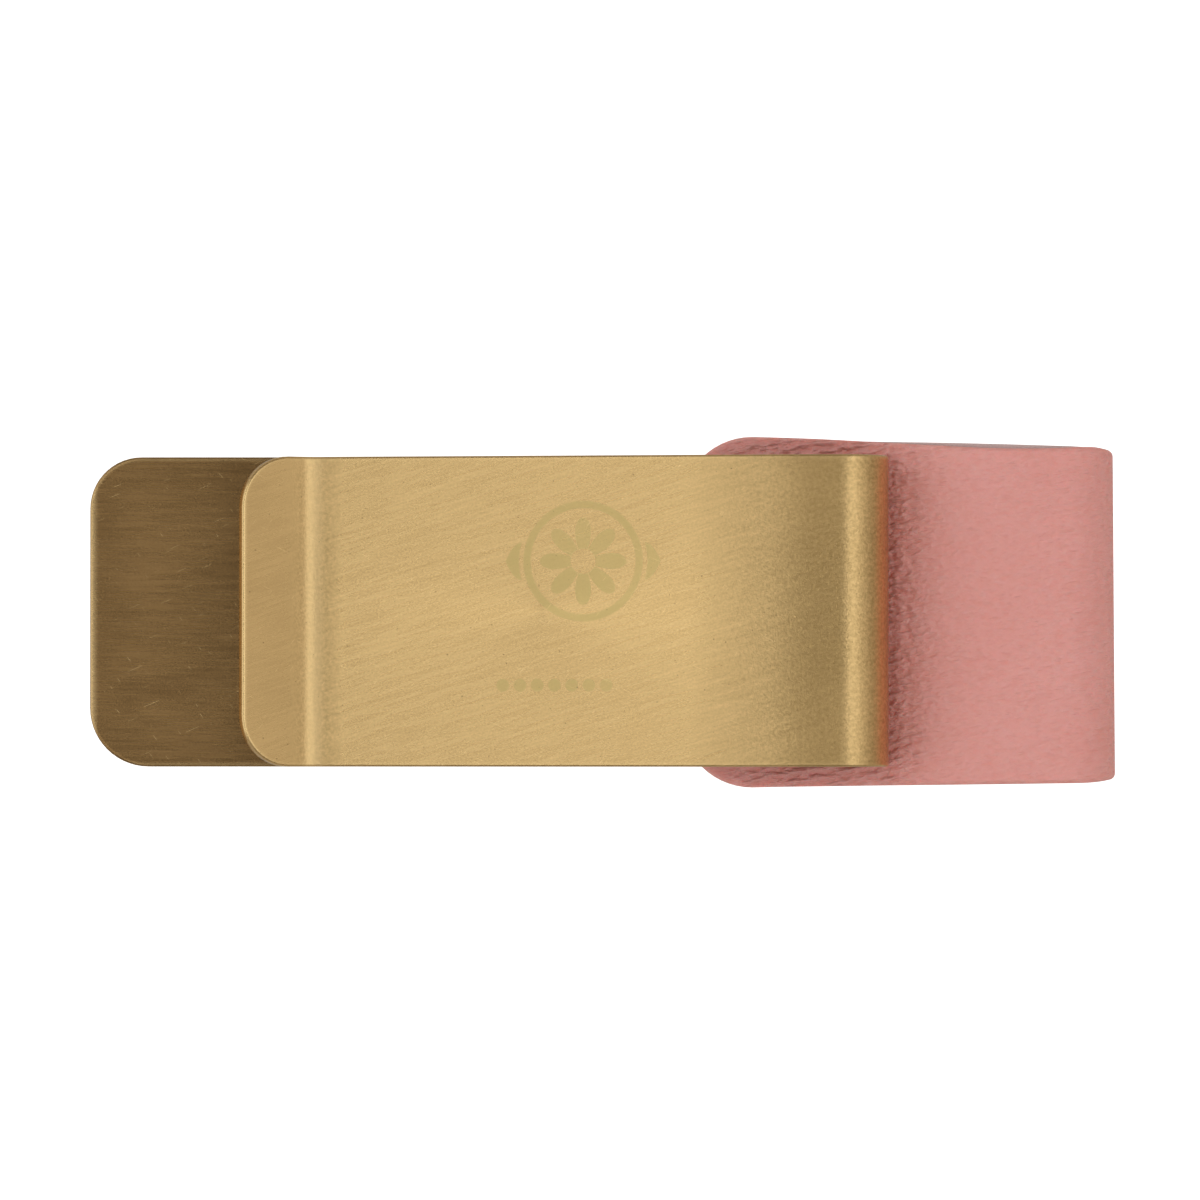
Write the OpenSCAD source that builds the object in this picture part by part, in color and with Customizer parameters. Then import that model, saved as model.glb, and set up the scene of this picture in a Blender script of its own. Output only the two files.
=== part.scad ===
// Money clip: a folded spring-brass strip with a flared lip, and a flattened leather loop that is
// fixed behind its back leaf. It lies on the loop: +X runs from the leaf's free tip to the loop's
// fold, +Z runs up from the loop's underside to the clip's front leaf.

/* [Brass strip] */
// Width of the strip
strip_w = 25; // [22:0.5:26]
// Thickness of the sheet
strip_t = 0.8; // [0.6:0.05:0.9]
// Radius of the strip's corners at both ends
strip_corner_r = 4.15; // [2:0.05:4.3]

/* [Clip] */
// Length of the whole clip with its loop
total_l = 82.8; // [80:0.2:90]
// Distance from the middle of the length to the outside of the spring bend
bend_reach = 23; // [22:0.1:24]
// Outer radius of the spring bend
bend_r = 3.7; // [3.5:0.05:3.9]
// Radius of the gentle crest between the spring bend and the straight front leaf
crest_r = 40; // [20:1:60]
// Distance from the middle of the length back to the throat, where the lip turns up
throat_reach = 22.9; // [20:0.1:25]
// Gap left between the two leaves at the throat
throat_gap = 0.12; // [0.1:0.01:0.4]

/* [Lip] */
// Inner radius of the turn into the lip
lip_bend_r = 2.6; // [1.5:0.1:3]
// Angle that the lip rises at
lip_rise = 28; // [20:1:35]
// Length of the lip's straight part
lip_l = 5.4; // [4.5:0.1:8]

/* [Leather loop] */
// Thickness of the leather
leather_t = 1.2; // [1:0.1:1.3]
// Thickness of the lining on the leather's inner side
lining_t = 0.3; // [0.2:0.05:0.4]
// Width of the loop where it is fixed
loop_w = 28.4; // [27.5:0.1:30]
// Width of the loop at its fold
fold_w = 27; // [26:0.1:27.4]
// Distance that the lining stands out past the leather at the fold, on the +Y edge
lining_peek = 0.35; // [0:0.05:0.5]
// Outer radius of the loop's fold
fold_r = 3.9; // [3.8:0.05:4.2]
// Length of the loop's fixed ends under the back leaf
tail_l = 12.6; // [11:0.1:13]
// Radius of the corners of the fixed ends
tail_corner_r = 5.7; // [4:0.1:6]
// Radius of the hollow where the upper half leaves the back leaf
dip_r = 9; // [7:0.5:10]
// Steepest angle of the upper half
swell_rise = 30; // [28:1:33]
// Angle that the upper half keeps up to the fold
crown_rise = 4; // [2:0.5:5]
// Thickness of each layer of adhesive
glue_t = 0.1; // [0.05:0.05:0.15]

/* [Rivets] */
// Distance between the two rivets
rivet_pitch = 14; // [10:0.5:16]
// Distance from the loop's tail end to the rivets
rivet_inset = 6.6; // [6:0.1:7]
// Radius of the rivet's post
rivet_post_r = 1.25; // [1:0.05:1.5]
// Radius of the rivet's foot, sunk in the leather
rivet_foot_r = 3; // [2.5:0.1:3.3]
// Thickness of the rivet's foot
rivet_foot_t = 0.5; // [0.4:0.05:0.6]
// Radius of the rivet's cap, on the brass
rivet_cap_r = 2.75; // [2.2:0.05:3]
// Height of the rivet's cap
rivet_cap_h = 0.6; // [0.5:0.05:0.7]
// Clearance round the post
rivet_clear = 0.03; // [0.02:0.01:0.1]

/* [Hidden] */
$fn = 96;

// heights of the layers, from the loop's underside up
layer_t = leather_t + lining_t;
tail_top = 2 * layer_t + glue_t;
leaf_z = tail_top + glue_t;
leaf_top = leaf_z + strip_t;

// the spring bend, and the hinge line on its centre
tip_x = -total_l / 2;
bend_x = bend_reach - bend_r;
bend_z = leaf_z + bend_r;
bend_in = bend_r - strip_t;

// the front leaf's underside is tangent to the crest's circle and to the throat's
crest_in = crest_r - strip_t;
crest_z = bend_z + bend_r - crest_r;
throat_r = lip_bend_r + strip_t;
throat_x = -throat_reach;
throat_z = leaf_top + throat_gap + throat_r;
span_x = bend_x - throat_x;
span_z = throat_z - crest_z;
span = sqrt(span_x * span_x + span_z * span_z);
leaf_rise = asin((throat_r + crest_in) / span) - atan2(span_z, span_x);

// the loop's upper half: hollow, swell, straight crown, then the fold
// (the halves part just short of the spring bend)
dip_back = 0.3;
fold_x = total_l / 2 - fold_r;
dip_x = bend_x - dip_back;
tail_x = dip_x - tail_l;
dip_z = tail_top + dip_r;
crown_dx = fold_x - fold_r * sin(crown_rise) - dip_x - dip_r * sin(swell_rise);
crown_dz = fold_r + fold_r * cos(crown_rise) - dip_z + dip_r * cos(swell_rise);
turn_x = sin(swell_rise) - sin(crown_rise);
turn_z = cos(crown_rise) - cos(swell_rise);
turn = turn_x * sin(crown_rise) - turn_z * cos(crown_rise);
swell_r = (crown_dx * sin(crown_rise) - crown_dz * cos(crown_rise)) / turn;
swell_x = dip_x + (dip_r + swell_r) * sin(swell_rise);
swell_z = dip_z - (dip_r + swell_r) * cos(swell_rise);

rivet_x = tail_x + rivet_inset;
arc_step = 2;
cap_rim = 0.15;
film_inset = 0.6;

// one face of a bent sheet, as points in X and Z: each entry of path is an arc, given as
// [centre x, centre z, radius, start angle, end angle, change of radius per mm through the sheet],
// and flat stretches join one arc to the next
function face(path, depth) = [
    for (arc = path)
        let (r = arc[2] + arc[5] * depth, steps = ceil(abs(arc[4] - arc[3]) / arc_step))
            for (i = [0 : steps])
                let (a = arc[3] + (arc[4] - arc[3]) * i / max(steps, 1))
                    [arc[0] + r * cos(a), arc[1] + r * sin(a)]
];

function backwards(points) = [for (i = [len(points) - 1 : -1 : 0]) points[i]];

// a bent sheet of even thickness that follows path, between two depths
module bent_sheet(path, d0, d1, w) {
    rotate([90, 0, 0])
        translate([0, 0, -w / 2])
            linear_extrude(w)
                polygon(concat(face(path, d0), backwards(face(path, d1))));
}

// what is cut away to round the two corners of a strip's end at x = 0
module corner_waste(w, r) {
    for (side = [0, 1])
        mirror([0, side])
            difference() {
                translate([-1, w / 2 - r])
                    square(r + 1);
                translate([r, w / 2 - r])
                    circle(r);
            }
}

// the outline of a strip with a rounded end at x = 0
module strip_end(l, w, r) {
    difference() {
        translate([0, -w / 2])
            square([l, w]);
        corner_waste(w, r);
    }
}

// both rivets' places
module at_rivets() {
    for (side = [-1, 1])
        translate([rivet_x, side * rivet_pitch / 2, 0])
            children();
}

module rivet_holes(z0, z1) {
    at_rivets()
        translate([0, 0, z0 - 1])
            cylinder(r = rivet_post_r + rivet_clear, h = z1 - z0 + 2);
}

module back_leaf() {
    color([0.47, 0.38, 0.25])
        difference() {
            translate([tip_x, 0, leaf_z])
                linear_extrude(strip_t)
                    strip_end(bend_x - tip_x, strip_w, strip_corner_r);
            rivet_holes(leaf_z, leaf_top);
        }
}

module spring_bend() {
    color([0.72, 0.59, 0.38])
        translate([bend_x, 0, bend_z])
            rotate([90, 0, 0])
                rotate([0, 0, -90])
                    rotate_extrude(angle = 180)
                        translate([bend_in, -strip_w / 2])
                            square([strip_t, strip_w]);
}

module front_leaf() {
    lip_dx = -lip_l * cos(lip_rise);
    lip_dz = lip_l * sin(lip_rise);
    crest = [bend_x, crest_z, crest_in, 90, 90 + leaf_rise, 1];
    throat = [throat_x, throat_z, throat_r, 270 + leaf_rise, 270 - lip_rise, -1];
    tip = [throat_x + lip_dx, throat_z + lip_dz, throat_r, 270 - lip_rise, 270 - lip_rise, -1];
    color([0.8, 0.68, 0.45])
        difference() {
            bent_sheet([crest, throat, tip], 0, strip_t, strip_w);
            translate([throat_x, 0, throat_z])
                rotate([0, lip_rise, 0])
                    translate([-lip_l, 0, -throat_r - 1])
                        linear_extrude(strip_t + 2)
                            corner_waste(strip_w, strip_corner_r);
        }
}

// one layer of the loop, between two depths below its outer face, from its upper tail to its lower
module loop_layer(d0, d1) {
    upper_tail = [tail_x - 1, dip_z, dip_r, 270, 270, 1];
    dip = [dip_x, dip_z, dip_r, 270, 270 + swell_rise, 1];
    swell = [swell_x, swell_z, swell_r, 90 + swell_rise, 90 + crown_rise, -1];
    fold = [fold_x, fold_r, fold_r, 90 + crown_rise, -90, -1];
    lower_tail = [tail_x - 1, fold_r, fold_r, -90, -90, -1];
    bent_sheet([upper_tail, dip, swell, fold, lower_tail], d0, d1, loop_w + 2);
}

// the loop's outline from above: rounded at its tails, narrower at its fold
module loop_outline(peek) {
    l = fold_x + fold_r - tail_x;
    difference() {
        translate([tail_x, 0])
            strip_end(l + 1, loop_w, tail_corner_r);
        for (side = [-1, 1])
            translate([tail_x, 0])
                polygon([
                    [tail_corner_r, side * loop_w / 2],
                    [l + 2, side * fold_w / 2 + (side > 0 ? peek : 0)],
                    [l + 2, side * loop_w],
                    [tail_corner_r, side * loop_w]
                ]);
    }
}

module loop_leather() {
    color([0.82, 0.56, 0.52])
        difference() {
            intersection() {
                loop_layer(0, leather_t);
                translate([0, 0, -1])
                    linear_extrude(2 * fold_r + 2)
                        loop_outline(0);
            }
            rivet_holes(0, tail_top);
            at_rivets()
                translate([0, 0, -1])
                    cylinder(r = rivet_foot_r + rivet_clear, h = rivet_foot_t + 1);
        }
}

module loop_lining() {
    color([0.62, 0.58, 0.57])
        difference() {
            intersection() {
                loop_layer(leather_t, layer_t);
                translate([0, 0, -1])
                    linear_extrude(2 * fold_r + 2)
                        loop_outline(lining_peek);
            }
            rivet_holes(0, tail_top);
        }
}

// a film of adhesive, held back from the edges of what it joins
module film(z, w) {
    color([0.85, 0.82, 0.7])
        difference() {
            translate([tail_x + film_inset, 0, z])
                linear_extrude(glue_t)
                    strip_end(tail_l - 2 * film_inset, w - 2 * film_inset, tail_corner_r);
            rivet_holes(z, z + glue_t);
        }
}

module leaf_adhesive() {
    film(tail_top, strip_w);
}

module tail_adhesive() {
    film(layer_t, strip_w);
}

module rivet_post(side) {
    color([0.75, 0.62, 0.38])
        translate([rivet_x, side * rivet_pitch / 2, 0]) {
            cylinder(r = rivet_foot_r, h = rivet_foot_t);
            cylinder(r = rivet_post_r, h = leaf_top + rivet_cap_h / 2);
        }
}

// the cap is a low dome over a blind hole that takes the post
module rivet_cap(side) {
    rise = rivet_cap_h - cap_rim;
    dome_r = (rivet_cap_r * rivet_cap_r + rise * rise) / (2 * rise);
    color([0.75, 0.62, 0.38])
        translate([rivet_x, side * rivet_pitch / 2, leaf_top])
            difference() {
                rotate_extrude()
                    intersection() {
                        translate([0, rivet_cap_h - dome_r])
                            circle(dome_r, $fn = 720);
                        square([rivet_cap_r, rivet_cap_h]);
                    }
                translate([0, 0, -1])
                    cylinder(r = rivet_post_r + rivet_clear, h = rivet_cap_h / 2 + 1);
            }
}

module upper_rivet_post() {
    rivet_post(1);
}

module upper_rivet_cap() {
    rivet_cap(1);
}

module lower_rivet_post() {
    rivet_post(-1);
}

module lower_rivet_cap() {
    rivet_cap(-1);
}

back_leaf();
spring_bend();
front_leaf();
loop_leather();
loop_lining();
leaf_adhesive();
tail_adhesive();
upper_rivet_post();
upper_rivet_cap();
lower_rivet_post();
lower_rivet_cap();
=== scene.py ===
import math

import bmesh
import bpy
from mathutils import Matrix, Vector, noise


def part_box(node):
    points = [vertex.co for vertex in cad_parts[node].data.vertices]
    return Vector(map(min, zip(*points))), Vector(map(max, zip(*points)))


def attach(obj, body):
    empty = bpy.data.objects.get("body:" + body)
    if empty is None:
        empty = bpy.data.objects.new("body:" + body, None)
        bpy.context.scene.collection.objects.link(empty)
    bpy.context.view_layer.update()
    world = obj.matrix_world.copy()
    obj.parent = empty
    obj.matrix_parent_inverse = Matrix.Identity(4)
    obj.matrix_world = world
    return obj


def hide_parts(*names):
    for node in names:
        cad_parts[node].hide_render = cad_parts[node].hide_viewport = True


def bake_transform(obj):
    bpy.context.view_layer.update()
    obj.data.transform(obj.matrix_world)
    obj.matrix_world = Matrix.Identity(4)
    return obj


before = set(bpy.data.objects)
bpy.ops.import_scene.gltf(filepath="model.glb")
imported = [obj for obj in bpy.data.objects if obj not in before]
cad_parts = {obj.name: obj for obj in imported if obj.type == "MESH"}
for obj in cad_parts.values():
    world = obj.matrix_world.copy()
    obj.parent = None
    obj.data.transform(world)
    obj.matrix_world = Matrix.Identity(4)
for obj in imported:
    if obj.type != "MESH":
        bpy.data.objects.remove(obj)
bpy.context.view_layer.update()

# All sizes below are in millimetres, and become metres where a mesh is made.
MM = 0.001


# ---------------------------------------------------------------- sizes, from the frame

def box_mm(node):
    """A CAD node's lowest and highest corner, in millimetres."""
    low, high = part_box(node)
    return low / MM, high / MM


back_low, back_high = box_mm("back_leaf")
bend_low, bend_high = box_mm("spring_bend")
loop_low, loop_high = box_mm("loop_leather")
tail_glue_low = box_mm("tail_adhesive")[0]
leaf_glue_low = box_mm("leaf_adhesive")[0]
foot_low, foot_high = box_mm("upper_rivet_post")

# the brass strip
strip_t = back_high.z - back_low.z
strip_w = back_high.y - back_low.y
strip_corner = 4.15
strip_edge = 0.2
tip_x = back_low.x
bend_x = back_high.x
bend_r = (bend_high.z - bend_low.z) / 2
crest_r = 40
lip_bend_r = 2.6
lip_rise = 28
lip_l = 5.4
throat_x = -22.9
throat_gap = 0.12

# the front leaf is tangent to the crest's circle and to the throat's
crest_in = crest_r - strip_t
throat_r = lip_bend_r + strip_t
span_x = bend_x - throat_x
span_z = back_high.z + throat_gap + throat_r - (bend_high.z - crest_r)
span = math.hypot(span_x, span_z)
leaf_l = math.sqrt(span**2 - (throat_r + crest_in)**2)
leaf_rise = math.degrees(math.asin((throat_r + crest_in) / span) - math.atan2(span_z, span_x))

# the leather loop
leather_t = 1.2
lining_t = tail_glue_low.z - leather_t
leather_edge = 0.5
tail_corner = 5.7
tail_top = leaf_glue_low.z
tail_x = loop_low.x
dip_x = bend_x - 0.3
dip_r = 9
swell_rise = 30
crown_rise = 4
fold_r = (loop_high.z - loop_low.z) / 2
fold_x = loop_high.x - fold_r
loop_half = loop_high.y
fold_half = 13.5
rivet_y = (foot_low.y + foot_high.y) / 2
rivet_x = (foot_low.x + foot_high.x) / 2
foot_r = (foot_high.x - foot_low.x) / 2
foot_t = 0.5

# unevenness of the two sheets
worn_corner = 4.75
drawn_in = 0.35
curl_in = 0.42
skew_x = 0.006
skew_y = 0.25
ripple_h = 0.10


def crown_stretch():
    """The swell's radius and the crown's length, which join the hollow to the fold."""
    crown, swell = math.radians(crown_rise), math.radians(swell_rise)
    dx = fold_x - fold_r * math.sin(crown) - dip_x - dip_r * math.sin(swell)
    dz = fold_r * (1 + math.cos(crown)) - tail_top - dip_r * (1 - math.cos(swell))
    turn_x = math.sin(swell) - math.sin(crown)
    turn_z = math.cos(crown) - math.cos(swell)
    turn = turn_x * math.sin(crown) - turn_z * math.cos(crown)
    radius = (dx * math.sin(crown) - dz * math.cos(crown)) / turn
    length = (turn_x * dz - turn_z * dx) / turn
    return radius, length


swell_r, crown_l = crown_stretch()


# ---------------------------------------------------------------- bent sheets

class Path:
    """A line in X and Z, drawn stretch by stretch: straight, or round an arc."""

    def __init__(self, x, z):
        self.end = (x, z, 0.0)
        self.length = 0.0
        self.stretches = []

    def line(self, length):
        return self._add(length, 0.0)

    def arc(self, radius, turn_deg):
        turn = math.radians(turn_deg)
        return self._add(radius * abs(turn), turn)

    def _add(self, length, turn):
        self.stretches.append((self.length, length, turn, self.end))
        self.end = self._along(self.end, length, turn, length)
        self.length += length
        return self

    @staticmethod
    def _along(start, length, turn, s):
        x, z, heading = start
        if not turn:
            return x + s * math.cos(heading), z + s * math.sin(heading), heading
        curve = turn / length
        ahead = heading + curve * s
        return (x + (math.sin(ahead) - math.sin(heading)) / curve,
                z - (math.cos(ahead) - math.cos(heading)) / curve, ahead)

    def at(self, s):
        """Place and heading at a distance along the path."""
        for begin, length, turn, start in self.stretches:
            if s <= begin + length:
                break
        return self._along(start, length, turn, s - begin)

    def stations(self, start, end, step, angle_step):
        """Distances along the path that are close enough together for a smooth sheet."""
        marks = {start, end}
        for begin, length, turn, _ in self.stretches:
            count = max(1, math.ceil(length / step), math.ceil(abs(turn) / math.radians(angle_step)))
            marks |= {begin + length * i / count for i in range(count + 1)}
        return [s for s in sorted(marks) if start <= s <= end]


class Blank:
    """A flat strip of sheet with softened edges, which is then bent along a path.

    half(s, side) is its half width on one side, and corner holds the radius of the corners on the
    -Y side and on the +Y side. Ends named in rounded have round corners, and the other ends are
    cut square, to meet the next piece. outer is 1 where the sheet's outer face lies to the left of
    the path, and -1 where it lies to the right."""

    def __init__(self, path, start, end, half, thickness, edge, corner, rounded, outer):
        self.path, self.start, self.end, self.half = path, start, end, half
        self.thickness, self.edge, self.corner = thickness, edge, corner
        self.rounded, self.outer = rounded, outer

    def width(self):
        """The flat blank's greatest width."""
        return max(self.half(s, -1) + self.half(s, 1) for s in self.columns(1, 5))

    def area(self):
        """The flat blank's area, less its corners."""
        marks = self.path.stations(self.start, self.end, 1, 5)
        widths = [self.half(s, -1) + self.half(s, 1) for s in marks]
        steps = [b - a for a, b in zip(marks, marks[1:])]
        full = sum(step * (u + w) / 2 for step, u, w in zip(steps, widths, widths[1:]))
        corner_loss = (1 - math.pi / 4) * sum(radius**2 for radius in self.corner)
        return full - corner_loss * len(self.rounded)

    def outline(self, s, side):
        """Half the width of the flat face at s, and the direction that its edge faces."""
        corner = self.corner[side > 0]
        radius = corner - self.edge
        into = [s - self.start if "start" in self.rounded else math.inf,
                self.end - s if "end" in self.rounded else math.inf]
        depth = min(into) - self.edge
        if depth >= radius:
            return self.half(s, side) - self.edge, (0.0, side)
        ahead = max(0.0, min(1.0, (radius - depth) / radius))
        across = math.sqrt(1 - ahead * ahead)
        back = -1 if into[0] < into[1] else 1
        return self.half(s, side) - corner + radius * across, (back * ahead, side * across)

    def columns(self, step, angle_step):
        low, high = self.start, self.end
        corners = []
        widest = max(self.corner)
        radius = widest - self.edge
        round_steps = 14
        for i in range(round_steps + 1):
            depth = self.edge + radius * (1 - math.cos(math.pi / 2 * i / round_steps))
            if "start" in self.rounded:
                corners.append(self.start + depth)
                low = self.start + widest + step / 2
            if "end" in self.rounded:
                corners.append(self.end - depth)
                high = self.end - widest - step / 2
        straight = [s for s in self.path.stations(self.start, self.end, step, angle_step)
                    if low <= s <= high]
        return sorted(corners + straight)

    def place(self, s, v, h):
        """The point at s along, v across and h out from the sheet's middle."""
        x, z, heading = self.path.at(s)
        out = self.outer * h
        return Vector((x - out * math.sin(heading), v, z + out * math.cos(heading))) * MM

    def mesh(self, name, step=1.2, angle_step=3, row_step=1.0, shift=None):
        """The bent sheet as an object. Its UV map holds s and v in millimetres, and the two faces
        lie apart in it."""
        columns = self.columns(step, angle_step)
        widest = max(self.half(s, 1) for s in columns)
        count = round(2 * widest / row_step)
        guard = 0.15 / widest
        rows = [-1.0, -1.0 + guard]
        rows += [-1 + 2 * j / count for j in range(1, count)]
        rows += [1.0 - guard, 1.0]
        last, top_row = len(columns) - 1, len(rows) - 1
        bm = bmesh.new()
        flat = {}

        def vert(s, v, h):
            made = bm.verts.new(self.place(s, v, h))
            flat[made] = (s, v, h)
            return made

        def across(s, row):
            return row * self.outline(s, math.copysign(1, row))[0]

        faces = {}
        for level in (1, -1):
            grid = [[vert(s, across(s, row), level * self.thickness / 2) for row in rows]
                    for s in columns]
            faces[level] = grid
            for i in range(last):
                for j in range(top_row):
                    bm.faces.new((grid[i][j], grid[i + 1][j], grid[i + 1][j + 1], grid[i][j + 1]))

        bends = 4
        profile = []
        for level in (1, -1):
            for k in range(bends + 1):
                angle = math.pi / 2 * (k / bends if level > 0 else 1 + k / bends)
                if 0 < angle < math.pi - 1e-6:
                    profile.append((self.edge * math.sin(angle),
                                    level * (self.thickness / 2 - self.edge) + self.edge * math.cos(angle)))
        if self.thickness <= 2 * self.edge + 1e-6:
            profile.pop(bends)

        rings = {}

        def ring(i, j):
            """The vertices round the edge at one point of the outline, from top to bottom."""
            if (i, j) not in rings:
                s, row = columns[i], rows[j]
                facing = self.outline(s, math.copysign(1, row))[1]
                if j not in (0, top_row):
                    facing = (-1.0 if i == 0 else 1.0, 0.0)
                v = across(s, row)
                rings[i, j] = [faces[1][i][j],
                               *(vert(s + facing[0] * out, v + facing[1] * out, h) for out, h in profile),
                               faces[-1][i][j]]
            return rings[i, j]

        def skirt(run, closed):
            pairs = list(zip(run, run[1:] + run[:1] if closed else run[1:]))
            for a, b in pairs:
                left, right = ring(*a), ring(*b)
                for k in range(len(left) - 1):
                    bm.faces.new((left[k], right[k], right[k + 1], left[k + 1]))

        low_side = [(i, 0) for i in range(last + 1)]
        high_side = [(i, top_row) for i in range(last + 1)]
        start_end = [(0, j) for j in range(top_row + 1)]
        far_end = [(last, j) for j in range(top_row + 1)]
        if self.rounded == {"start", "end"}:
            skirt(start_end + high_side[1:] + far_end[-2::-1] + low_side[-2:0:-1], True)
        elif self.rounded == {"start"}:
            skirt(low_side[:0:-1] + start_end + high_side[1:], False)
        elif self.rounded == {"end"}:
            skirt(low_side[:-1] + far_end + high_side[-2::-1], False)
        else:
            skirt(low_side, False)
            skirt(high_side, False)
        for i, end in ((0, "start"), (last, "end")):
            if end not in self.rounded:
                bm.faces.new([*faces[1][i], *ring(i, top_row)[1:-1], *reversed(faces[-1][i]),
                              *reversed(ring(i, 0)[1:-1])])

        bmesh.ops.recalc_face_normals(bm, faces=bm.faces)
        uv = bm.loops.layers.uv.new("sheet")
        for face in bm.faces:
            face.smooth = True
            under = sum(flat[corner][2] for corner in face.verts) < 0
            for loop in face.loops:
                s, v, _ = flat[loop.vert]
                loop[uv].uv = (s, v + 80 * under)
        if shift:
            for made, (s, v, h) in flat.items():
                made.co += shift(made.co / MM, h) * MM
        return finished(bm, name)


def finished(bm, name):
    """An object made from a bmesh, with its creases kept sharp."""
    data = bpy.data.meshes.new(name)
    bm.to_mesh(data)
    bm.free()
    data.set_sharp_from_angle(angle=math.radians(50))
    piece = bpy.data.objects.new(name, data)
    bpy.context.scene.collection.objects.link(piece)
    return piece


# ---------------------------------------------------------------- shader helpers

class Shader:
    """A node material, built by short calls."""

    def __init__(self, name):
        self.material = bpy.data.materials.new(name)
        self.material.use_nodes = True
        self.nodes = self.material.node_tree.nodes
        self.links = self.material.node_tree.links
        self.bsdf = self.nodes["Principled BSDF"]

    def add(self, kind, settings=None, **inputs):
        made = self.nodes.new("ShaderNode" + kind)
        for key, value in (settings or {}).items():
            setattr(made, key, value)
        for key, value in inputs.items():
            self.put(made, key.replace("_", " "), value)
        return made

    def put(self, made, socket, value):
        target = made.inputs[int(socket)] if socket.isdigit() else made.inputs[socket]
        if isinstance(value, bpy.types.NodeSocket):
            self.links.new(value, target)
        else:
            target.default_value = value

    def math(self, operation, a, b=0.0, clamp=False):
        made = self.add("Math", {"operation": operation, "use_clamp": clamp})
        self.put(made, "0", a)
        self.put(made, "1", b)
        return made.outputs[0]

    def blend(self, share, a, b):
        """a where share is 0, b where it is 1. Both are colours."""
        made = self.add("Mix", {"data_type": "RGBA"})
        for index, value in ((0, share), (6, a), (7, b)):
            self.put(made, str(index), value)
        return made.outputs[2]

    def mix(self, share, a, b):
        """a where share is 0, b where it is 1. Both are numbers."""
        made = self.add("Mix", {"data_type": "FLOAT"})
        for index, value in enumerate((share, None, a, b)):
            if value is not None:
                self.put(made, str(index), value)
        return made.outputs[0]

    def span(self, value, low, high, to_low=0.0, to_high=1.0, smooth=False):
        made = self.add("MapRange", {"interpolation_type": "SMOOTHSTEP" if smooth else "LINEAR"},
                        Value=value, From_Min=low, From_Max=high, To_Min=to_low, To_Max=to_high)
        return made.outputs[0]

    def sheet(self):
        """The place on the flat sheet, in millimetres."""
        return self.add("UVMap", {"uv_map": "sheet"}).outputs[0]

    def object_mm(self):
        """The place in the object's own frame, in millimetres."""
        place = self.add("TexCoord").outputs["Object"]
        return self.add("VectorMath", {"operation": "SCALE"}, Vector=place, Scale=1 / MM).outputs[0]

    def noise(self, place, size, detail=2.0, rough=0.5, turn=0.0):
        """Noise with features of a size in millimetres, (along, across), turned by an angle."""
        turned = self.add("Mapping", {"vector_type": "POINT"}, Vector=place)
        turned.inputs["Rotation"].default_value = (0, 0, math.radians(turn))
        scaled = self.add("Mapping", {"vector_type": "POINT"}, Vector=turned.outputs[0])
        scaled.inputs["Scale"].default_value = (1 / size[0], 1 / size[1], 1 / size[-1])
        made = self.add("TexNoise", {"noise_dimensions": "3D"}, Vector=scaled.outputs[0],
                        Scale=1.0, Detail=detail, Roughness=rough)
        return made.outputs["Fac"]

    def bump(self, height, depth_mm, strength=1.0, under=None):
        made = self.add("Bump", Height=height, Distance=depth_mm * MM, Strength=strength)
        if under:
            self.links.new(under, made.inputs["Normal"])
        return made.outputs[0]

    def finish(self, **inputs):
        for key, value in inputs.items():
            self.put(self.bsdf, key.replace("_", " "), value)
        return self.material


# ---------------------------------------------------------------- materials

BRASS = (0.74, 0.52, 0.235, 1)
BRASS_DULL = (0.46, 0.315, 0.132, 1)
# Darker brass for the back leaf: painted shade for the dark surroundings that it reflects.
BACK_LEAF_PAINTED_SHADE = (0.385, 0.235, 0.095, 1)
BACK_LEAF_PAINTED_SHADE_DULL = (0.20, 0.117, 0.045, 1)
# Light brass for real scratches, and for painted highlights at the throat and along the edges.
BRASS_WORN_AND_HIGHLIGHT = (0.90, 0.66, 0.32, 1)
# Dark brass for a painted dark reflection on the crest.
BRASS_PAINTED_DARK_REFLECTION = (0.34, 0.215, 0.075, 1)
ETCHED = (0.55, 0.425, 0.17, 1)


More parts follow.
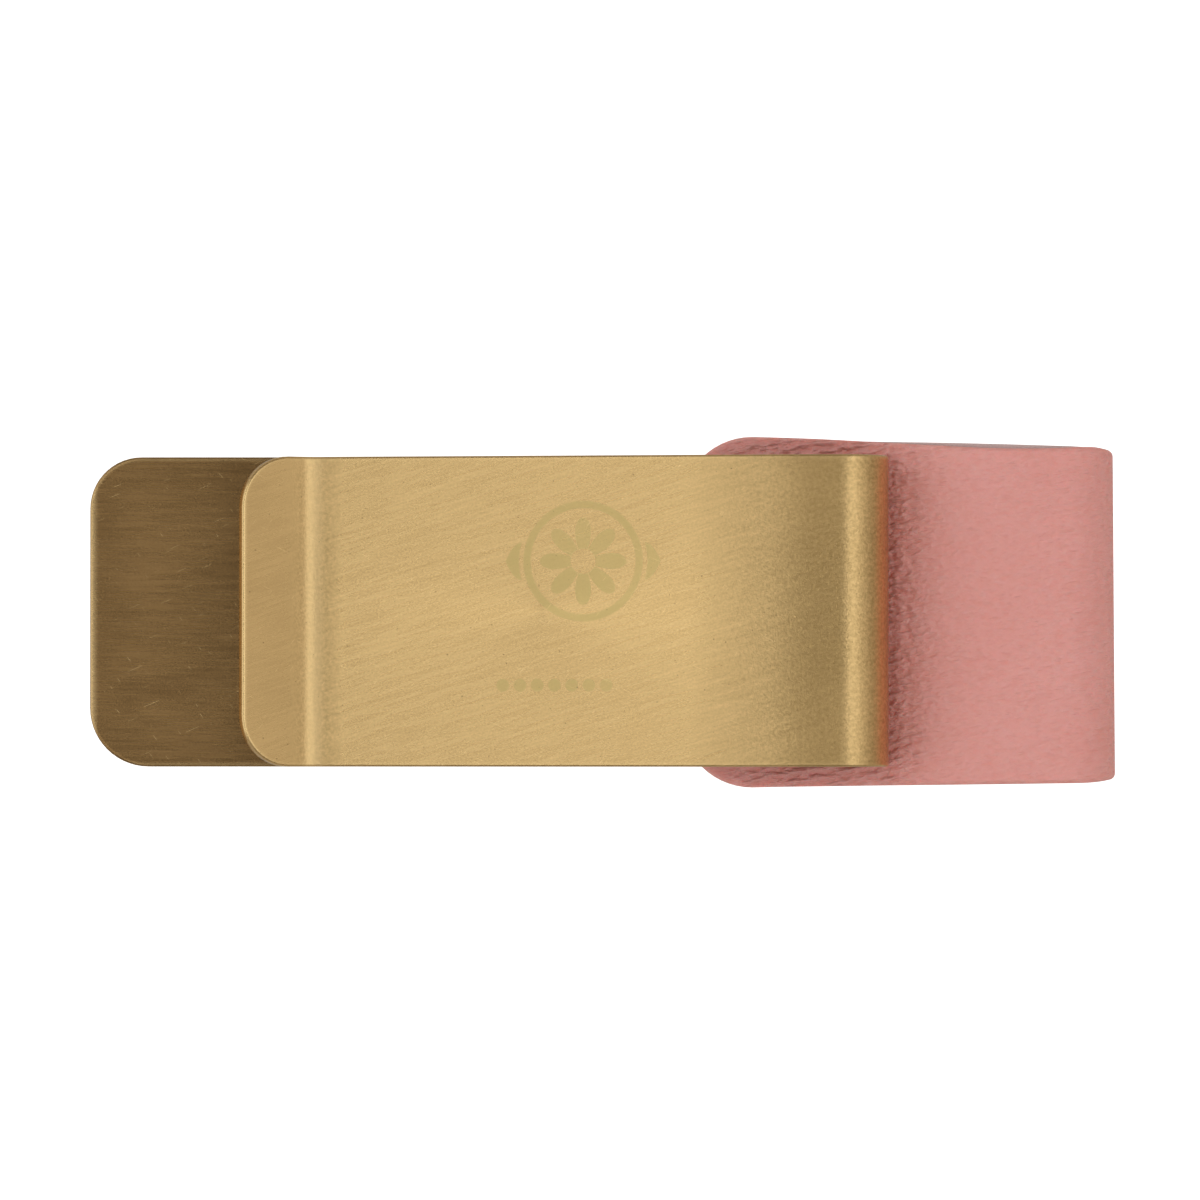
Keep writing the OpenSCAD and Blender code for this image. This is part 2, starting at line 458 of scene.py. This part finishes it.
def satin_brass():
    """Brushed brass sheet: lengthwise strokes and painted shade darkening the back leaf, slanting
    strokes on the front one, and a coarser grain wherever the sheet is bent."""
    m = Shader("satin_brass")
    place = m.sheet()
    s = m.add("SeparateXYZ", Vector=place).outputs[0]
    front = m.span(s, bend_start - 3, bend_start + 3, smooth=True)
    bent = m.math("MULTIPLY", m.span(s, bend_start - 1, bend_start + 1),
                  m.span(s, crest_end + 7, crest_end - 2))
    from_throat = m.math("ABSOLUTE", m.math("SUBTRACT", s, throat_s))
    throat = m.span(from_throat, 1.3, 0.3, smooth=True)
    bent = m.math("MAXIMUM", bent, m.span(from_throat, 3.0, 0.8, smooth=True))
    lip = m.span(s, throat_s + 0.5, throat_s + 2, smooth=True)
    crest = m.math("MULTIPLY", m.span(s, bend_end - 0.35, bend_end + 0.5, smooth=True),
                   m.span(s, crest_end + 0.9, crest_end - 4.0, smooth=True))

    def strokes(fine_size, broad_size, turn):
        fine = m.noise(place, fine_size, 3.0, 0.6, turn)
        broad = m.noise(place, broad_size, 2.0, 0.5, turn)
        return m.math("ADD", m.math("MULTIPLY", fine, 0.6), m.math("MULTIPLY", broad, 0.4))

    streak = m.mix(front, strokes((3.0, 0.13), (8.0, 0.45), 1.0), strokes((3.2, 0.22), (6.0, 0.55), 17.0))
    grain = m.noise(place, (0.17, 0.17), 2.0, 0.6)
    sand = m.noise(place, (0.30, 0.30), 1.0, 0.5)
    cloud = m.noise(place, (8.0, 6.0), 3.0, 0.5)
    tone = m.math("ADD", m.math("MULTIPLY", m.span(streak, 0.35, 0.65), 0.55),
                  m.math("MULTIPLY", m.span(grain, 0.30, 0.70), 0.45))
    sandy = m.math("MULTIPLY", bent, 0.5)
    tone = m.mix(sandy, tone, m.span(sand, 0.34, 0.66))
    even = m.math("MAXIMUM", m.math("MULTIPLY", lip, 0.55), m.mix(front, 0.25, 0.0))
    tone = m.mix(even, tone, 0.5)
    tone = m.math("ADD", tone, m.span(cloud, 0.3, 0.7, -0.12, 0.12), True)
    inside = strip_rim(m, place)
    # Painted shade: the back leaf darkens towards its edges.
    edge_painted_shade = m.math("MULTIPLY", m.span(inside, 5.0, 1.0, smooth=True), 0.2)
    # The back leaf takes the darker painted-shade brass, and the front leaf the plain brass.
    base = m.blend(front, m.blend(m.math("SUBTRACT", tone, edge_painted_shade), BACK_LEAF_PAINTED_SHADE_DULL, BACK_LEAF_PAINTED_SHADE),
                   m.blend(tone, BRASS_DULL, BRASS))

    mark = m.math("MULTIPLY", etched_mark(m, place), m.span(grain, 0.2, 0.45, 0.55, 1.0))
    mark = m.math("MULTIPLY", mark, m.span(cloud, 0.25, 0.6, 0.5, 0.8))
    base = m.blend(mark, base, ETCHED)
    scratch = m.math("MAXIMUM", m.span(m.noise(place, (0.9, 0.07), 0.0, 0.5, 52.0), 0.80, 0.85),
                     m.span(m.noise(place, (2.2, 0.06), 0.0, 0.5, -24.0), 0.81, 0.86))
    base = m.blend(m.math("MULTIPLY", scratch, 0.6), base, BRASS_WORN_AND_HIGHLIGHT)
    # Painted dark reflection: the crest past the spring bend is darkened where it faces the dark gap
    # between the lamps.
    base = m.blend(m.math("MULTIPLY", crest, 0.5), base, BRASS_PAINTED_DARK_REFLECTION)
    # Painted highlight: a bright band along the throat where the lip bends up.
    base = m.blend(m.math("MULTIPLY", throat, 0.55), base, BRASS_WORN_AND_HIGHLIGHT)
    # Painted highlight along the cut ends of the strip.
    ends = m.math("MAXIMUM", m.span(s, 0.75, 0.15, smooth=True),
                  m.span(s, strip_path_length - 0.55, strip_path_length - 0.1, smooth=True))
    base = m.blend(m.math("MULTIPLY", ends, 0.4), base, BRASS_WORN_AND_HIGHLIGHT)
    # Painted highlight along the strip's outline.
    rim = m.span(inside, 0.45, 0.15, smooth=True)
    base = m.blend(m.math("MULTIPLY", rim, 0.2), base, BRASS_WORN_AND_HIGHLIGHT)
    pit = m.span(m.noise(place, (0.24, 0.24), 0.0), 0.83, 0.87)
    base = m.blend(m.math("MULTIPLY", pit, 0.6), base, (0.16, 0.10, 0.04, 1))

    rough = m.span(m.math("ADD", streak, m.math("MULTIPLY", cloud, 0.5)), 0.5, 1.0, 0.23, 0.31)
    rough = m.math("ADD", rough, m.math("MULTIPLY", bent, 0.07))
    rough = m.math("ADD", rough, m.math("MULTIPLY", throat, 0.06))
    rough = m.math("ADD", rough, m.math("MULTIPLY", mark, 0.05))
    normal = m.bump(streak, 0.008, 0.6)
    coarse = m.math("MULTIPLY", grain, m.span(bent, 0.0, 1.0, 0.22, 2.2))
    normal = m.bump(coarse, 0.022, 0.7, normal)
    return m.finish(Base_Color=base, Metallic=1.0, Roughness=rough, Normal=normal,
                    Anisotropic=0.3)


def strip_rim(m, place):
    """How far a point of the flat strip lies inside its outline."""
    parts = m.add("SeparateXYZ", Vector=place)
    v = parts.outputs[1]
    v = m.math("SUBTRACT", v, m.math("MULTIPLY", m.math("GREATER_THAN", v, 40), 80))
    half_l = strip_path_length / 2
    a = m.math("ABSOLUTE", m.math("SUBTRACT", parts.outputs[0], half_l))
    a = m.math("SUBTRACT", a, half_l - strip_corner)
    b = m.math("SUBTRACT", m.math("ABSOLUTE", v), strip_w / 2 - strip_corner)
    out_a, out_b = m.math("MAXIMUM", a, 0), m.math("MAXIMUM", b, 0)
    round_part = m.math("SQRT", m.math("ADD", m.math("MULTIPLY", out_a, out_a),
                                       m.math("MULTIPLY", out_b, out_b)))
    inner = m.math("MINIMUM", m.math("MAXIMUM", a, b), 0)
    return m.math("SUBTRACT", strip_corner, m.math("ADD", round_part, inner))


def etched_mark(m, place):
    """A plain ornament: a rosette in a ring between two leaves, over a row of beads."""
    parts = m.add("SeparateXYZ", Vector=place)

    def from_centre(x, y):
        along = m.math("SUBTRACT", crest_end + (crest_x - x) / math.cos(math.radians(leaf_rise)),
                       parts.outputs[0])
        return along, m.math("SUBTRACT", parts.outputs[1], y)

    def length(a, b):
        return m.math("SQRT", m.math("ADD", m.math("MULTIPLY", a, a), m.math("MULTIPLY", b, b)))

    along, across = from_centre(-1.5, 4.0)
    radius = length(along, across)
    petal = m.math("ABSOLUTE", m.math("COSINE", m.math("MULTIPLY", m.math("ARCTAN2", across, along), 4.0)))
    reach = m.math("MULTIPLY", m.math("SQRT", petal), 3.5)
    petals = m.math("MULTIPLY", m.span(m.math("SUBTRACT", reach, radius), -0.06, 0.06),
                    m.span(radius, 0.95, 1.08))
    ring = m.math("MULTIPLY", m.span(radius, 4.2, 4.32), m.span(radius, 4.9, 4.78))
    side = m.math("SUBTRACT", m.math("ABSOLUTE", along), 5.0)
    leaf = m.math("SUBTRACT", m.math("SUBTRACT", 1.5, m.math("ABSOLUTE", across)),
                  m.math("MULTIPLY", m.math("MULTIPLY", side, side), 0.9))
    leaf = m.math("MULTIPLY", m.span(leaf, -0.06, 0.06), m.span(radius, 5.15, 5.27))

    along, across = from_centre(-3.8, -5.95)
    bead_along = m.math("PINGPONG", m.math("ADD", along, 28), 0.7)
    bead = m.math("MULTIPLY", m.span(length(bead_along, across), 0.56, 0.46),
                  m.span(m.math("ABSOLUTE", along), 4.9, 4.8))
    mark = m.math("MAXIMUM", m.math("MAXIMUM", petals, ring), m.math("MAXIMUM", leaf, bead))
    return m.math("MULTIPLY", mark, m.span(parts.outputs[1], 30, 29))


def pebbled_leather():
    """Pale pink leather with a fine grain, creased where the loop bends in, and painted shade in its
    furrows.
    """
    m = Shader("pebbled_leather")
    place = m.sheet()
    s = m.add("SeparateXYZ", Vector=place).outputs[0]
    hollow_s = dip_x - tail_x
    creased = m.math("MULTIPLY", m.span(s, hollow_s - 12, hollow_s - 4, smooth=True),
                     m.span(s, hollow_s + 10, hollow_s + 3, smooth=True))
    crease = m.noise(place, (0.85, 0.36), 2.0, 0.5, -12.0)
    pebble = m.add("TexVoronoi", {"feature": "SMOOTH_F1"}, Vector=place, Scale=1.7,
                   Smoothness=0.6, Randomness=1.0).outputs["Distance"]
    pores = m.noise(place, (0.16, 0.16), 2.0, 0.6)
    cloud = m.noise(place, (11.0, 8.0), 3.0, 0.55)
    slanted = m.add("Mapping", {"vector_type": "POINT"}, Vector=place)
    slanted.inputs["Rotation"].default_value = (0, 0, math.radians(-12))
    fold = m.add("TexWave", {"bands_direction": "Y"}, Vector=slanted.outputs[0], Scale=0.44,
                 Distortion=5.0, Detail=2.0, Detail_Scale=1.2).outputs["Fac"]
    height = m.math("ADD", crease, m.math("MULTIPLY", pebble, -0.35))
    height = m.math("ADD", height, m.math("MULTIPLY", m.math("MULTIPLY", creased, 0.42),
                                          m.math("SUBTRACT", fold, 0.5)))
    # Painted shade: the furrows of the grain are darkened, most near the hollow by the brass bend.
    furrow_painted_shade = m.math("MULTIPLY", m.span(height, 0.38, 0.12), m.mix(creased, 0.20, 0.42))
    base = m.blend(m.span(cloud, 0.3, 0.7), (0.955, 0.437, 0.398, 1), (0.98, 0.468, 0.434, 1))
    base = m.blend(furrow_painted_shade, base, (0.84, 0.28, 0.22, 1))
    base = m.blend(m.span(pores, 0.3, 0.7, 0.0, 0.12), base, (0.80, 0.33, 0.28, 1))
    normal = m.bump(m.math("MULTIPLY", height, m.mix(creased, 0.6, 1.15)), 0.42, 0.95)
    normal = m.bump(pores, 0.02, 0.4, normal)
    rough = m.span(height, 0.1, 0.6, 0.62, 0.5)
    return m.finish(Base_Color=base, Roughness=rough, Normal=normal, Specular_IOR_Level=0.35,
                    Subsurface_Weight=0.3, Subsurface_Radius=(1.0, 0.25, 0.17), Subsurface_Scale=0.001)


def microfibre():
    """The loop's grey lining, with a short nap."""
    m = Shader("microfibre_lining")
    place = m.sheet()
    nap = m.noise(place, (0.22, 0.12), 4.0, 0.7)
    drift = m.noise(place, (6.0, 4.0), 2.0, 0.5)
    base = m.blend(m.span(nap, 0.3, 0.7), (0.60, 0.47, 0.46, 1), (0.76, 0.64, 0.63, 1))
    base = m.blend(m.math("MULTIPLY", drift, 0.3), base, (0.66, 0.50, 0.49, 1))
    return m.finish(Base_Color=base, Roughness=0.9, Normal=m.bump(nap, 0.05, 0.6),
                    Sheen_Weight=0.3, Sheen_Roughness=0.5)


def turned_brass():
    """Polished rivet brass, a little spotted."""
    m = Shader("rivet_brass")
    place = m.object_mm()
    spots = m.noise(place, (0.5, 0.5), 3.0, 0.6)
    fine = m.noise(place, (0.08, 0.08), 2.0, 0.5)
    base = m.blend(m.span(spots, 0.3, 0.7), BRASS_DULL, BRASS)
    rough = m.span(spots, 0.3, 0.7, 0.16, 0.28)
    return m.finish(Base_Color=base, Metallic=1.0, Roughness=rough,
                    Normal=m.bump(fine, 0.008, 0.4))


def cured_glue():
    """Dried contact adhesive."""
    m = Shader("cured_adhesive")
    mottle = m.noise(m.object_mm(), (1.5, 1.5), 3.0, 0.6)
    base = m.blend(mottle, (0.62, 0.52, 0.33, 1), (0.74, 0.66, 0.46, 1))
    return m.finish(Base_Color=base, Roughness=m.span(mottle, 0.3, 0.7, 0.35, 0.6))


# ---------------------------------------------------------------- the brass strip

strip_path = Path(tip_x, back_low.z + strip_t / 2)
strip_path.line(bend_x - tip_x)
bend_start = strip_path.length
strip_path.arc(bend_r - strip_t / 2, 180)
bend_end = strip_path.length
strip_path.arc(crest_r - strip_t / 2, leaf_rise)
crest_end = strip_path.length
crest_x = strip_path.end[0]
strip_path.line(leaf_l)
throat_s = strip_path.length + (throat_r - strip_t / 2) * math.radians(leaf_rise + lip_rise) / 2
strip_path.arc(throat_r - strip_t / 2, -leaf_rise - lip_rise)
strip_path.line(lip_l)
strip_path_length = strip_path.length


def strip_piece(name, node, start, end, rounded, corner=(strip_corner, strip_corner)):
    blank = Blank(strip_path, start, end, lambda s, side: strip_w / 2, strip_t, strip_edge,
                  corner, rounded, -1)
    piece = blank.mesh(name, step=1.0, angle_step=2.5)
    piece.data.materials.append(brass)
    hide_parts(node)
    return piece


brass = satin_brass()
back_leaf = strip_piece("back_leaf_sheet", "back_leaf", 0.0, bend_start, {"start"},
                         (worn_corner, strip_corner))
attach(back_leaf, "clip")
front_leaf = strip_piece("front_leaf_sheet", "front_leaf", bend_end, strip_path_length, {"end"})
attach(front_leaf, "spring_arm")
spring_bend = strip_piece("spring_bend_sheet", "spring_bend", bend_start, bend_end, set())
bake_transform(spring_bend)


# ---------------------------------------------------------------- the leather loop

def loop_path(depth):
    """The loop's line at a depth below its outer face, from the upper tail to the lower one."""
    path = Path(tail_x, tail_top - depth)
    path.line(dip_x - tail_x)
    path.arc(dip_r + depth, swell_rise)
    path.arc(swell_r - depth, crown_rise - swell_rise)
    path.line(crown_l)
    path.arc(fold_r - depth, -180 - crown_rise)
    path.line(fold_x - tail_x)
    return path


def loop_half_width(x):
    """The loop narrows from its tails to its fold, and is drawn in a little round the fold."""
    along = max(0.0, (x - tail_x - tail_corner) / (fold_x + fold_r - tail_x - tail_corner))
    round_fold = max(0.0, (x - fold_x) / fold_r) ** 3
    return loop_half + (fold_half - loop_half) * along - drawn_in * round_fold


def settle(place, h):
    """Hand-made unevenness: the loop sits a little askew, and its free upper half ripples."""
    away = max(0.0, min(1.0, (place.x - 14) / 25))
    free = max(0.0, min(1.0, (place.x - dip_x) / 8)) * max(0.0, min(1.0, (place.z - 2.4) / 1.5))
    ripple = noise.noise(Vector((place.x * 0.11, place.y * 0.09, 3.7)))
    return Vector((-skew_x * (place.y + loop_half) * away, -skew_y * away,
                   ripple_h * free * (ripple - 0.35)))


def leather_half(s, side):
    """The upper half's +Y edge curls in along its middle, which bares the lining."""
    x = leather_path.at(s)[0]
    share = max(0.0, min(1.0, (x - 16.5) / 23.2))
    curl = curl_in * math.sin(math.pi * share ** 1.7) if side > 0 and s < leather_fold_s else 0.0
    return loop_half_width(x) - curl


leather_path = loop_path(leather_t / 2)
leather_fold_s = leather_path.length / 2
leather_blank = Blank(leather_path, 0.0, leather_path.length, leather_half, leather_t, leather_edge,
                      (tail_corner, tail_corner), {"start", "end"}, 1)
leather = leather_blank.mesh("loop_leather_strip", step=0.8, angle_step=3, row_step=0.8, shift=settle)
leather.data.materials.append(pebbled_leather())


def sink_rivet_feet(piece):
    """Cuts the two round seats that the rivets' feet are pressed into."""
    for side in (-1, 1):
        bm = bmesh.new()
        bmesh.ops.create_cone(bm, segments=96, cap_ends=True, radius1=(foot_r + 0.09) * MM,
                              radius2=(foot_r + 0.03) * MM, depth=2 * foot_t * MM)
        bmesh.ops.translate(bm, verts=bm.verts, vec=Vector((rivet_x, side * rivet_y, 0)) * MM)
        cutter = finished(bm, "seat_cutter")
        cut = piece.modifiers.new("seat", "BOOLEAN")
        cut.operation = "DIFFERENCE"
        cut.solver = "EXACT"
        cut.object = cutter
        bpy.context.view_layer.objects.active = piece
        bpy.ops.object.modifier_apply(modifier="seat")
        bpy.data.objects.remove(cutter)


sink_rivet_feet(leather)
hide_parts("loop_leather")
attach(leather, "clip")

lining_path = loop_path(leather_t + lining_t / 2)
lining_blank = Blank(lining_path, 0.0, lining_path.length,
                     lambda s, side: loop_half_width(lining_path.at(s)[0]) - 0.05,
                     lining_t, lining_t / 2 - 0.01, (tail_corner, tail_corner), {"start", "end"}, 1)
lining = lining_blank.mesh("loop_lining_sheet", step=0.8, angle_step=3, row_step=1.0, shift=settle)
lining.data.materials.append(microfibre())
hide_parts("loop_lining")
lining_blank.width() * MM
lining_blank.area() * MM**2
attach(lining, "clip")


# ---------------------------------------------------------------- carried-over CAD nodes

def finish_node(node, material):
    """Puts a material in every slot of a piece that keeps its CAD shape."""
    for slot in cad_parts[node].material_slots:
        slot.material = material


rivet_material = turned_brass()
glue_material = cured_glue()
for node in ("upper_rivet_post", "upper_rivet_cap", "lower_rivet_post", "lower_rivet_cap"):
    finish_node(node, rivet_material)
for node in ("leaf_adhesive", "tail_adhesive"):
    finish_node(node, glue_material)


# ---------------------------------------------------------------- floor, light and camera

def pale_floor():
    """A pale tabletop that the camera sees as white."""
    m = Shader("pale_floor")
    seen = m.add("LightPath").outputs["Is Camera Ray"]
    m.finish(Base_Color=(0.72, 0.70, 0.67, 1), Roughness=0.9, Emission_Color=(1, 1, 1, 1))
    m.links.new(seen, m.bsdf.inputs["Emission Strength"])
    bm = bmesh.new()
    bmesh.ops.create_circle(bm, cap_ends=True, segments=64, radius=3.0)
    floor = finished(bm, "floor")
    floor.location.z = -0.00005
    floor.data.materials.append(m.material)


def softbox(name, from_deg, to_deg, depth_m, radiance, y=0.0, distance=0.55, colour=(1, 1, 1)):
    """A tall softbox that fills the sky between two angles from straight up, towards +X."""
    middle = math.radians((from_deg + to_deg) / 2)
    width = 2 * distance * math.tan(math.radians((to_deg - from_deg) / 2))
    data = bpy.data.lights.new(name, "AREA")
    data.shape = "RECTANGLE"
    data.size, data.size_y = width, depth_m
    data.energy = radiance * math.pi * width * depth_m
    data.color = colour
    lamp = bpy.data.objects.new(name, data)
    lamp.location = (distance * math.sin(middle), y, distance * math.cos(middle))
    lamp.rotation_euler = (0, middle, 0)
    lamp.visible_camera = False
    bpy.context.scene.collection.objects.link(lamp)


def room(colour, at_horizon, overhead):
    """Pale surroundings: bright at the horizon, dark overhead, and white to the camera."""
    world = bpy.data.worlds.new("room")
    world.use_nodes = True
    tree = world.node_tree
    around = tree.nodes["Background"]
    around.inputs["Color"].default_value = (*colour, 1)
    direction = tree.nodes.new("ShaderNodeTexCoord")
    parts = tree.nodes.new("ShaderNodeSeparateXYZ")
    fall = tree.nodes.new("ShaderNodeMapRange")
    fall.interpolation_type = "SMOOTHSTEP"
    fall.inputs["From Max"].default_value = 0.9
    fall.inputs["To Min"].default_value = at_horizon
    fall.inputs["To Max"].default_value = overhead
    pale = tree.nodes.new("ShaderNodeBackground")
    pale.inputs["Color"].default_value = (1, 1, 1, 1)
    seen = tree.nodes.new("ShaderNodeLightPath")
    mix = tree.nodes.new("ShaderNodeMixShader")
    tree.links.new(direction.outputs["Generated"], parts.inputs[0])
    tree.links.new(parts.outputs["Z"], fall.inputs["Value"])
    tree.links.new(fall.outputs[0], around.inputs["Strength"])
    tree.links.new(seen.outputs["Is Camera Ray"], mix.inputs[0])
    tree.links.new(around.outputs[0], mix.inputs[1])
    tree.links.new(pale.outputs[0], mix.inputs[2])
    tree.links.new(mix.outputs[0], tree.nodes["World Output"].inputs["Surface"])
    bpy.context.scene.world = world


def camera_above(height_m, frame_width_m, look_at, lean_deg):
    """A long lens that looks down on the clip, leaning a little so that it shows the -Y edges."""
    data = bpy.data.cameras.new("camera")
    data.lens = 36 * height_m / frame_width_m
    camera = bpy.data.objects.new("camera", data)
    lean = math.radians(lean_deg)
    camera.location = Vector(look_at) + Vector((0, -math.sin(lean), math.cos(lean))) * height_m
    camera.rotation_euler = (lean, 0, 0)
    bpy.context.scene.collection.objects.link(camera)
    bpy.context.scene.camera = camera


pale_floor()
softbox("left_key", -22, -9.4, 0.9, 1.53)
softbox("left_fill", -76, -31, 0.9, 0.89, y=0.05)
softbox("right_key", 8, 39, 0.7, 1.3)
softbox("right_fill", 40, 64, 0.6, 0.57, colour=(1, 0.96, 0.93))
room((1.0, 0.86, 0.74), 0.5, 0.08)
camera_above(0.60, 0.0963, (-0.0002, 0.00088, 0.008), 1.1)
bpy.context.scene.view_settings.view_transform = "Standard"
